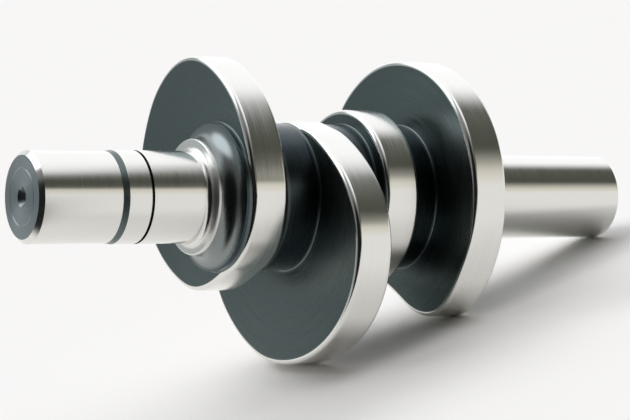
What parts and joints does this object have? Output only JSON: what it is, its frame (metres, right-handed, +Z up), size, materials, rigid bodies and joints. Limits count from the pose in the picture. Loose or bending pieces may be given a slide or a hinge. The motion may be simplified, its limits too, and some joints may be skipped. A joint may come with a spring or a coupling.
{
  "type": "eccentric shaft",
  "caption": "One-piece ground steel shaft with eccentric cam discs and a round disc on heavy journals, a stepped head with a bearing seat and a plain tail.",
  "frame": {"origin": "The middle of the floor space that the lying shaft takes up, on the floor", "axes": "+X along the shaft over the floor from head to tail, +Z up; the shaft leans down towards its tail by 19.18 degrees"},
  "size_m": [0.4528, 0.209, 0.2229],
  "materials": {
    "ground_steel": "ground"
  },
  "bodies": {
    "root": {"eccentric_shaft": "ground_steel"}
  },
  "joints": []
}
